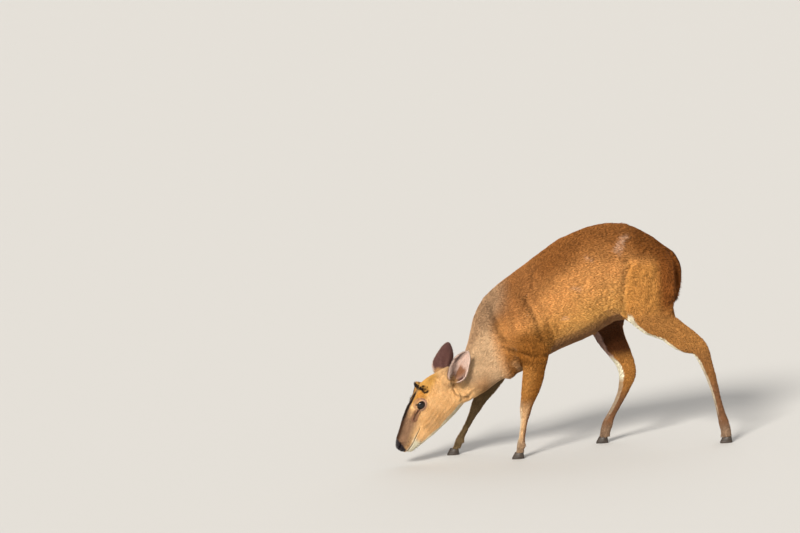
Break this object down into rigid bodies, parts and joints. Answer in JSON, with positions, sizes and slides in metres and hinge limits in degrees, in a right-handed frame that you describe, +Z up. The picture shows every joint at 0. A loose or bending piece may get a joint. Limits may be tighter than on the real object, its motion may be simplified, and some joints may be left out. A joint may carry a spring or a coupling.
{
  "type": "muntjac",
  "caption": "Life-size still model of an adult female muntjac standing with lowered head, ears up and tail hanging, as if drinking.",
  "frame": {"origin": "middle of the model's bounding box, on the level of its hooves", "axes": "-X is the way the animal faces, -Y is its left side, +Z is up"},
  "size_m": [0.804, 0.1784, 0.5417],
  "materials": {
    "coat": "short chestnut hair",
    "ear_skin": "thin skin with fine hair",
    "eye": "wet gloss",
    "hoof": "dull horn"
  },
  "bodies": {
    "root": {"head": "coat", "neck": "coat", "torso": "coat", "tail": "coat", "ear_left": "ear_skin", "ear_right": "ear_skin", "eye_left": "eye", "eye_right": "eye", "leg_fore_left_upper": "coat", "leg_fore_left_lower": "coat", "leg_fore_right_upper": "coat", "leg_fore_right_lower": "coat", "leg_hind_left_upper": "coat", "leg_hind_left_lower": "coat", "leg_hind_right_upper": "coat", "leg_hind_right_lower": "coat", "hoof_fore_left_inner": "hoof", "hoof_fore_left_outer": "hoof", "hoof_fore_right_inner": "hoof", "hoof_fore_right_outer": "hoof", "hoof_hind_left_inner": "hoof", "hoof_hind_left_outer": "hoof", "hoof_hind_right_inner": "hoof", "hoof_hind_right_outer": "hoof"}
  },
  "joints": []
}
